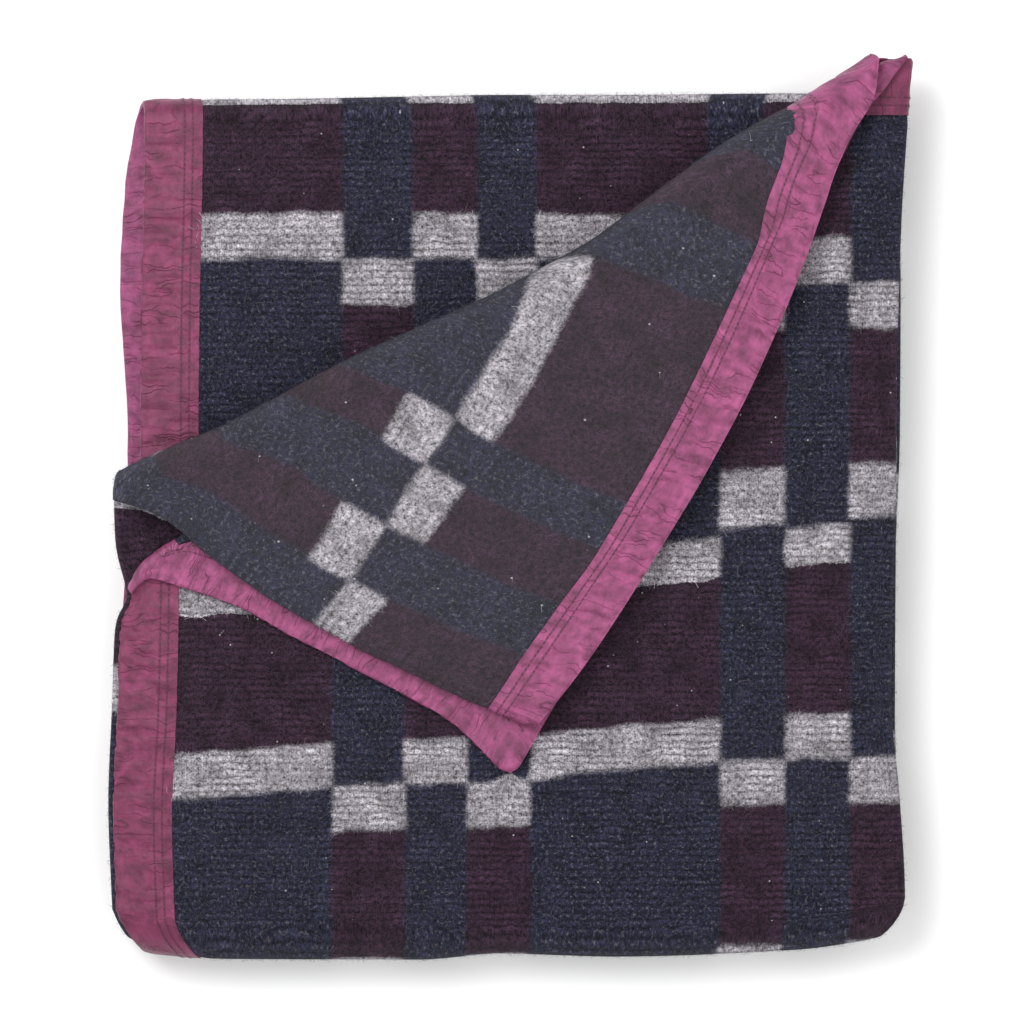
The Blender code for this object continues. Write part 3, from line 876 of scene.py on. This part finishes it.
tree, sizes = tree_with_inputs("raised_pile", ("Hairs per square metre", "Length", "Height", "Width"))
spots = node(tree, "GeometryNodeDistributePointsOnFaces", {"Seed": 7}, {"Mesh": sizes["Geometry"]})
share = node(tree, "GeometryNodeInputNamedAttribute", {"Name": "pile"}, data_type="FLOAT")
density = node(tree, "ShaderNodeMath", None, {0: share.outputs["Attribute"], 1: sizes["Hairs per square metre"]},
               operation="MULTIPLY")
tree.links.new(density.outputs[0], spots.inputs["Density"])
middle = node(tree, "ShaderNodeCombineXYZ", None, {"X": sizes["Length"], "Z": sizes["Height"]})
middle_at = node(tree, "ShaderNodeVectorMath", {1: (0.45, 0.45, 2.0)}, {0: middle.outputs[0]}, operation="MULTIPLY")
end_at = node(tree, "ShaderNodeVectorMath", {1: (1.0, 1.0, 0.25)}, {0: middle.outputs[0]}, operation="MULTIPLY")
hair = node(tree, "GeometryNodeCurveQuadraticBezier", {"Resolution": 2, "Start": (0, 0, 0)},
            {"Middle": middle_at.outputs[0], "End": end_at.outputs[0]})
half_width = node(tree, "ShaderNodeCombineXYZ", None, {"X": sizes["Width"]})
profile = node(tree, "GeometryNodeCurvePrimitiveLine", {"Start": (0, 0, 0)}, {"End": half_width.outputs[0]})
blade = node(tree, "GeometryNodeCurveToMesh", None, {"Curve": hair.outputs[0], "Profile Curve": profile.outputs[0]})
spin = node(tree, "FunctionNodeRandomValue", {0: (-0.5, -0.3, 0.0), 1: (0.5, 0.3, 2 * math.pi), "Seed": 11},
            data_type="FLOAT_VECTOR")
spun = node(tree, "FunctionNodeEulerToRotation", None, {0: spin.outputs[0]})
facing = node(tree, "FunctionNodeRotateRotation", None,
              {"Rotation": spots.outputs["Rotation"], "Rotate By": spun.outputs[0]}, rotation_space="LOCAL")
growth = node(tree, "FunctionNodeRandomValue", {2: 0.5, 3: 1.5, "Seed": 13}, data_type="FLOAT")
hairs = node(tree, "GeometryNodeInstanceOnPoints", None,
             {"Points": spots.outputs["Points"], "Instance": blade.outputs[0],
              "Rotation": facing.outputs[0], "Scale": growth.outputs[1]})
real = node(tree, "GeometryNodeRealizeInstances", None, {0: hairs.outputs[0]})
coated = node(tree, "GeometryNodeSetMaterial", {"Material": hair_wool}, {0: real.outputs[0]})
node(tree, "NodeGroupOutput", None, {0: coated.outputs[0]})
pile = grown(cloth, tree, {"Hairs per square metre": 130000.0, "Length": 3.6 * MM, "Height": 0.9 * MM,
                           "Width": 0.12 * MM}, "raised_pile")
print("PILE", len(pile.data.polygons), [a.name for a in pile.data.attributes])
for name in ("pile", "open"):
    cloth.data.attributes.remove(cloth.data.attributes[name])

# Edge tape. One woven satin tape, 77 mm wide, folded over all four edges of the cloth and
# mitred at its corners. Two rows of stitches draw it up in puckers.
TAPE_GAP = 0.35
TAPE_T = 0.8
TAPE_OUT = HALF_T + TAPE_SPILL
TAPE_IN = HALF_T + TAPE_GAP
EDGE_BAND = [-TAPE_SPILL, -0.9, -0.3, 0.6, 1.8, 4.0, 7.5, 11.5, 15.5, 19.5, 23.0, TAPE_WIDTH - 12.0, 28.7,
             TAPE_WIDTH - 6.6, 34.5, TAPE_WIDTH]
STITCH_ROWS = (6.6, 12.0)
SEAM_DENT = 0.5
SIDE_HEMS = (Station(1, 0.0, TAPE_WIDTH), Station(3, 1.0, TAPE_WIDTH))
LEAST_STAND = -0.15
FLAP_LIFT = 0.5
CORNER_REACH = 65.0
CORNER_LIFT = 1.4
HEM_TURN = Vector((188.5, 262.0))
HEM_REACH = 15.0
FLAT_WIDTH = 1561.0
FLAT_LENGTH = 1693.0
tape_line = line_stations(EDGE_BAND, (2.6 * COARSE, 30, 2.6 * COARSE))
tape_ways = way_stations(EDGE_BAND, (2.6 * COARSE, 12, 3.0 * COARSE))


def tape_offset(inset, outer):
    """How far the tape stands off the middle of the cloth, at a distance in from the edge."""
    if not outer:
        return TAPE_IN
    gone = TAPE_OUT - (inset + TAPE_SPILL)
    return math.sqrt(TAPE_OUT ** 2 - max(gone, 0) ** 2)


def pucker(s, t, lively):
    """Height of the puckers, and how deep a crease is, s mm along and t mm in from its hem."""
    wave = noise.noise(Vector((s / 5.2, t / 34, 1.5)))
    drift = noise.noise(Vector((s / 17 + t / 90, t / 60, 4.5)))
    held = 0.25
    for row in STITCH_ROWS:
        held += 0.0 if abs(t - row) < 1.2 else 0.1
    if t > STITCH_ROWS[1]:
        held = 0.35 + 0.65 * min((t - STITCH_ROWS[1]) / 8, 1)
    crease = math.exp(-(wave / 0.13) ** 2)
    return lively * held * (0.9 * abs(wave) - 0.45 * crease + 0.7 * drift), crease


bm = bmesh.new()
tape_layer = bm.verts.layers.float_vector.new("tape")
puff_layer = bm.verts.layers.float.new("stand")
# Share of painted light on the tape: 1 on its reverse face, which faces up on the turned flap
lit_face_layer = bm.verts.layers.float.new("painted_lit_face")
made_verts = {}
last_row = len(tape_ways) - 2
last_column = len(tape_line) - 2
band_cells = len(EDGE_BAND) - 1


def taped(i, j):
    return i < band_cells or i > last_row - band_cells or j < band_cells or j > last_column - band_cells


def tape_vert(side, outer, i, j):
    """The tape's vertex over a place on the cloth's grid, on one side, its outer or inner face."""
    way, end_inset = tape_ways[i]
    station = tape_line[j]
    inset = min(end_inset, station.inset)
    if outer and inset == -TAPE_SPILL:
        side = 0
    key = (side, outer, i, j)
    if key not in made_verts:
        x, height, out_x, out_h = across_pad(way, station)
        offset = tape_offset(inset, outer) * side
        if not outer and inset < TAPE_GAP:
            x, height, out_x, out_h = across_pad(way, station._replace(inset=max(station.inset, -TAPE_GAP)))
        point = folded(way, x + out_x * offset, height + out_h * offset)
        vert = bm.verts.new(point)
        place = weave_place(way, station, x, point.y)
        t = TAPE_WIDTH - inset
        side_hem = end_inset == TAPE_WIDTH and station in SIDE_HEMS
        if station.inset < end_inset or side_hem:
            s = end_inset if end_inset < TAPE_WIDTH else min(place.y, FLAT_LENGTH - place.y)
        else:
            s = station.inset if station.inset < TAPE_WIDTH else min(place.x, FLAT_WIDTH - place.x)
        lively = 0.35
        if station.layer == 1 and (station.inset < end_inset or side_hem) and (way < 1 or way > 4):
            lively = 1.0
        if station.layer == 3 and end_inset < TAPE_WIDTH and way < 1:
            lively = 0.8
        stand, crease = pucker(s + 700 * side, t, lively * 2.8)
        stand = max(stand, LEAST_STAND)
        if station.inset < TAPE_WIDTH and end_inset < TAPE_WIDTH:
            stand *= min(abs(station.inset - end_inset) / 6, 1)
        if min(abs(t - row) for row in STITCH_ROWS) < 0.1:
            stand -= SEAM_DENT
        vert[tape_layer] = Vector((s, t, crease))
        vert[puff_layer] = stand if outer else 0.0
        # The reverse face gets painted light: a lighter pink, because the turned flap is lit more brightly
        vert[lit_face_layer] = 1.0 if side == -1 else 0.0
        made_verts[key] = vert
    return made_verts[key]


for i in range(last_row + 1):
    for j in range(last_column + 1):
        if not taped(i, j):
            continue
        corners = ((i, j), (i + 1, j), (i + 1, j + 1), (i, j + 1))
        for side in (1, -1):
            order = corners if side == 1 else corners[::-1]
            bm.faces.new([tape_vert(side, True, *corner) for corner in order])
            bm.faces.new([tape_vert(side, False, *corner) for corner in order[::-1]])
        for (row, column), start, end in (
            ((i - 1, j), (i, j), (i, j + 1)),
            ((i + 1, j), (i + 1, j), (i + 1, j + 1)),
            ((i, j - 1), (i, j), (i + 1, j)),
            ((i, j + 1), (i, j + 1), (i + 1, j + 1)),
        ):
            if row < 0 or column < 0 or row > last_row or column > last_column:
                walls = (((1, False), (-1, False)),)
            elif not taped(row, column):
                walls = (((1, True), (1, False)), ((-1, True), (-1, False)))
            else:
                walls = ()
            for first, second in walls:
                hem = bm.faces.new((tape_vert(*first, *start), tape_vert(*first, *end),
                                    tape_vert(*second, *end), tape_vert(*second, *start)))
                for edge in hem.edges:
                    edge.smooth = False
cut_creases(bm)
for vert in bm.verts:
    vert.co = settled(vert.co)
bmesh.ops.recalc_face_normals(bm, faces=bm.faces)
bmesh.ops.triangulate(bm, faces=[face for face in bm.faces if len(face.verts) > 4])
bm.normal_update()
for vert in bm.verts:
    place = (vert.co / MM + Vector((CENTRE_X, CENTRE_Y, 0))).to_2d()
    near = max(1 - (place - Vector(FLAP_PLAN[1])).length / CORNER_REACH, 0)
    if vert[puff_layer] and vert.normal.z > 0.2 and vert.co.z > TOP_FROM * MM:
        vert[puff_layer] += min(2 * near, 1) * CORNER_LIFT
    if vert[puff_layer] and vert.normal.z > 0.2 and vert.co.z > FLAP_FROM * MM:
        vert[puff_layer] += FLAP_LIFT
    vert.co += vert.normal * vert[puff_layer] * MM
turning = [vert for vert in bm.verts if vert.co.z > TOP_FROM * MM
           and ((vert.co / MM + Vector((CENTRE_X, CENTRE_Y, 0))).to_2d() - HEM_TURN).length < HEM_REACH]
for _ in range(20):
    bmesh.ops.smooth_vert(bm, verts=turning, factor=0.5, use_axis_x=True, use_axis_y=True, use_axis_z=True)
for face in bm.faces:
    face.smooth = True
seam_runs = []
for row in STITCH_ROWS:
    inset = TAPE_WIDTH - row
    ring_rows = [i for i, (_, end_inset) in enumerate(tape_ways) if end_inset >= inset]
    ring_columns = [j for j, station in enumerate(tape_line) if station.inset >= inset]
    for side in (1, -1):
        for i in (ring_rows[0], ring_rows[-1]):
            run = [made_verts[side, True, i, j] for j in ring_columns]
            seam_runs.append([(vert.co.copy(), vert.normal.copy()) for vert in run])
        for j in (ring_columns[0], ring_columns[-1]):
            run = [made_verts[side, True, i, j] for i in ring_rows]
            seam_runs.append([(vert.co.copy(), vert.normal.copy()) for vert in run])
tape_mesh = bpy.data.meshes.new("satin_edge_tape")
bm.to_mesh(tape_mesh)
bm.free()
tape = bpy.data.objects.new("satin_edge_tape", tape_mesh)
bpy.context.collection.objects.link(tape)

# Woven satin: smooth long threads, so it has a soft gloss and a faint fine grain. Its dark crease
# lines across it and the dark lines along the stitch rows are painted shade, and its reverse face,
# which shows on the turned flap, is painted lighter as painted light
SATIN = "#762c50"
# Lighter pink of the tape's reverse face on the turned flap: painted light, not a real fade
SATIN_PAINTED_LIT = "#93446f"
# Dark pink for painted shade in the crease lines and along the stitch rows
SATIN_SHADE = "#431329"
satin, tree = new_material("woven_satin")
tape_at = node(tree, "ShaderNodeAttribute", attribute_name="tape").outputs["Vector"]
painted_lit_face = node(tree, "ShaderNodeAttribute", attribute_name="painted_lit_face").outputs["Fac"]
parts = node(tree, "ShaderNodeSeparateXYZ", None, {0: tape_at})
bend = node(tree, "ShaderNodeTexNoise", {"Scale": 0.05, "Detail": 3, "Roughness": 0.6}, {"Vector": tape_at})
bent = node(tree, "ShaderNodeVectorMath", {1: (14, 4, 0)}, {0: bend.outputs["Color"]}, operation="MULTIPLY")
bent = node(tree, "ShaderNodeVectorMath", None, {0: tape_at, 1: bent.outputs[0]}, operation="ADD")
grain_at = node(tree, "ShaderNodeVectorMath", {1: (0.13, 0.022, 0)}, {0: bent.outputs[0]}, operation="MULTIPLY")
lines = node(tree, "ShaderNodeTexNoise", {"Scale": 1.0, "Detail": 1.0}, {"Vector": grain_at.outputs[0]})
line = node(tree, "ShaderNodeMath", {1: 0.5}, {0: lines.outputs["Fac"]}, operation="SUBTRACT")
line = node(tree, "ShaderNodeMath", None, {0: line.outputs[0]}, operation="ABSOLUTE")
line = node(tree, "ShaderNodeMapRange", {1: 0.0, 2: 0.022, 3: 1.0, 4: 0.0}, {0: line.outputs[0]})
patchy = node(tree, "ShaderNodeTexNoise", {"Scale": 0.06, "Detail": 2}, {"Vector": tape_at})
patchy = node(tree, "ShaderNodeMapRange", {1: 0.4, 2: 0.58, 3: 0.05, 4: 1.0}, {0: patchy.outputs["Fac"]})
line = node(tree, "ShaderNodeMath", None, {0: line.outputs[0], 1: patchy.outputs[0]}, operation="MULTIPLY")
mottle = node(tree, "ShaderNodeTexNoise", {"Scale": 0.1, "Detail": 5, "Roughness": 0.65}, {"Vector": bent.outputs[0]})
mottle = node(tree, "ShaderNodeMapRange", {1: 0.32, 2: 0.68, 3: 0.52, 4: 1.34}, {0: mottle.outputs["Fac"]})
thread = node(tree, "ShaderNodeTexNoise", {"Scale": 2.2, "Detail": 2}, {"Vector": tape_at})
# Painted light: the reverse face, which shows on the turned flap, is mixed towards the lighter pink
base = node(tree, "ShaderNodeMix", {6: linear(SATIN), 7: linear(SATIN_PAINTED_LIT)}, {0: painted_lit_face}, data_type="RGBA")
base = node(tree, "ShaderNodeVectorMath", None, {0: base.outputs[2], "Scale": mottle.outputs[0]}, operation="SCALE")
# Painted shade: darker where the puckers crease and along the crease lines
crease_shade = node(tree, "ShaderNodeMath", {1: 0.4}, {0: parts.outputs["Z"]}, operation="MULTIPLY")
crease_shade = node(tree, "ShaderNodeMath", {1: 0.55}, {0: line.outputs[0], 2: crease_shade.outputs[0]},
               operation="MULTIPLY_ADD")
# Painted shade along the grooves of both stitch rows
for row in STITCH_ROWS:
    off = node(tree, "ShaderNodeMath", {1: row}, {0: parts.outputs["Y"]}, operation="SUBTRACT")
    off = node(tree, "ShaderNodeMath", None, {0: off.outputs[0]}, operation="ABSOLUTE")
    near = node(tree, "ShaderNodeMapRange", {1: 0.5, 2: 1.3, 3: 0.5, 4: 0.0}, {0: off.outputs[0]})
    crease_shade = node(tree, "ShaderNodeMath", None, {0: crease_shade.outputs[0], 1: near.outputs[0]}, operation="MAXIMUM")
dark = node(tree, "ShaderNodeMix", {7: linear(SATIN_SHADE)}, {0: crease_shade.outputs[0], 6: base.outputs[0]},
            data_type="RGBA")
height = node(tree, "ShaderNodeMath", {1: 0.3}, {0: thread.outputs["Fac"]}, operation="MULTIPLY")
height = node(tree, "ShaderNodeMath", {1: 2.2}, {0: lines.outputs["Fac"], 2: height.outputs[0]},
              operation="MULTIPLY_ADD")
height = node(tree, "ShaderNodeMath", {1: -0.45}, {0: line.outputs[0], 2: height.outputs[0]},
              operation="MULTIPLY_ADD")
bump = node(tree, "ShaderNodeBump", {"Strength": 0.8, "Distance": 1.0 * MM}, {"Height": height.outputs[0]})
shine = node(tree, "ShaderNodeBsdfPrincipled",
             {"Roughness": 0.45, "Sheen Weight": 0.03, "Specular IOR Level": 0.35},
             {"Base Color": dark.outputs[2], "Normal": bump.outputs[0]})
node(tree, "ShaderNodeOutputMaterial", None, {"Surface": shine.outputs[0]})
tape.data.materials.append(satin)

# Sewing. Two rows of lockstitch in dark pink polyester thread hold the tape through the cloth.
# Each stitch lies in a small dent, and the rows run round all four sides, on both faces.
thread_paint, tree = new_material("polyester_thread")
strand = node(tree, "ShaderNodeBsdfPrincipled", {"Base Color": linear("#4d1730"), "Roughness": 0.6})
node(tree, "ShaderNodeOutputMaterial", None, {"Surface": strand.outputs[0]})

tree, sizes = tree_with_inputs("lockstitch", ("Stitch length", "Stitch pitch", "Thread width"))
path = node(tree, "GeometryNodeMeshToCurve", None, {"Mesh": sizes["Geometry"]})
path = node(tree, "GeometryNodeResampleCurve", None, {"Curve": path.outputs[0], "Length": sizes["Stitch pitch"]},
            mode="LENGTH")
tangent = node(tree, "GeometryNodeInputTangent")
up = node(tree, "GeometryNodeInputNamedAttribute", {"Name": "up"}, data_type="FLOAT_VECTOR")
turn = node(tree, "FunctionNodeAlignRotationToVector", None, {"Vector": tangent.outputs[0]}, axis="X")
turn = node(tree, "FunctionNodeAlignRotationToVector", None,
            {"Rotation": turn.outputs[0], "Vector": up.outputs["Attribute"]}, axis="Z", pivot_axis="X")
bead = node(tree, "GeometryNodeMeshIcoSphere", {"Radius": 0.5, "Subdivisions": 1})
width = node(tree, "ShaderNodeMath", {1: 0.7}, {0: sizes["Thread width"]}, operation="MULTIPLY")
form = node(tree, "ShaderNodeCombineXYZ", None,
            {"X": sizes["Stitch length"], "Y": sizes["Thread width"], "Z": width.outputs[0]})
laid = node(tree, "GeometryNodeInstanceOnPoints", None,
            {"Points": path.outputs[0], "Instance": bead.outputs["Mesh"], "Rotation": turn.outputs[0],
             "Scale": form.outputs[0]})
real = node(tree, "GeometryNodeRealizeInstances", None, {0: laid.outputs[0]})
coated = node(tree, "GeometryNodeSetMaterial", {"Material": thread_paint}, {0: real.outputs[0]})
node(tree, "NodeGroupOutput", None, {0: coated.outputs[0]})

seam_mesh = bpy.data.meshes.new("seam_paths")
points = [point for run in seam_runs for point, _ in run]
edges = []
first = 0
for run in seam_runs:
    edges += [(first + k, first + k + 1) for k in range(len(run) - 1)]
    first += len(run)
seam_mesh.from_pydata(points, edges, [])
ups = seam_mesh.attributes.new("up", "FLOAT_VECTOR", "POINT")
for item, (_, normal) in zip(ups.data, [pair for run in seam_runs for pair in run]):
    item.vector = normal
seam_paths = bpy.data.objects.new("seam_paths", seam_mesh)
bpy.context.collection.objects.link(seam_paths)
stitches = grown(seam_paths, tree, {"Stitch length": 2.6 * MM, "Stitch pitch": 3.6 * MM,
                                    "Thread width": 0.75 * MM}, "tape_stitches")
print("STITCHES", len(stitches.data.polygons))
bpy.data.objects.remove(seam_paths, do_unlink=True)

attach(cloth, "root")
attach(tape, "root")
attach(pile, "root")
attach(stitches, "root")
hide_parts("cloth")
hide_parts("edge_tape")
